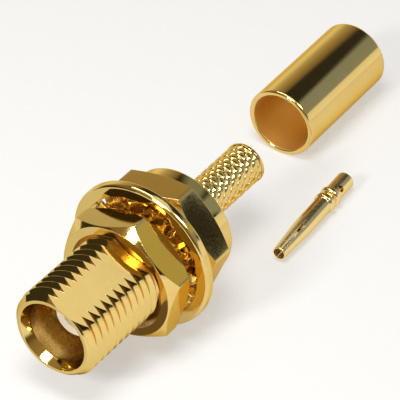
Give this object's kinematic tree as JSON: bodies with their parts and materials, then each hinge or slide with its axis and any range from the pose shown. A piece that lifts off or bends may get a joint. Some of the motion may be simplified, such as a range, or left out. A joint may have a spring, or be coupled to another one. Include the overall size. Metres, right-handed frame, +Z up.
{
  "type": "mcx panel connector",
  "caption": "Push-on coaxial bulkhead jack for crimped cable: threaded barrel with a flat, hex flange, knurled stem, nut and toothed washer, with loose ferrule and contact.",
  "frame": {"origin": "on the connector's axis, at the flange face that seats on the panel", "axes": "+Y along the axis from the mating mouth towards the cable, +Z up as the part lies on a table"},
  "size_m": [0.0084, 0.0309, 0.0084],
  "materials": {
    "body_gold": "polished gold plate over turned brass",
    "insulator_white": "waxy white fluoropolymer",
    "washer_gold": "polished gold plate over stamped bronze",
    "nut_gold": "polished gold plate over milled brass",
    "ferrule_gold": "polished gold plate over drawn tube",
    "contact_gold": "polished gold plate over turned bronze"
  },
  "bodies": {
    "connector": {"connector_body": "body_gold", "insulator": "insulator_white", "crimp_ferrule": "ferrule_gold", "centre_contact": "contact_gold"},
    "washer": {"lock_washer": "washer_gold"},
    "nut": {"hex_nut": "nut_gold"}
  },
  "joints": [
    {"name": "washer_slide", "type": "slide", "parent": "connector", "child": "washer", "axis": [0, -1, 0], "range_m": [-0.00041, 0.005]},
    {"name": "nut_spin", "type": "hinge", "parent": "washer", "child": "nut", "pos_m": [0, -0.0023, -0.00013], "axis": [0, -1, 0], "range_deg": [-295.3, 3600.1]}
  ],
  "couplings": [
    {"joint": "nut_spin", "follows": "washer_slide", "rad_per_m": 12566}
  ]
}
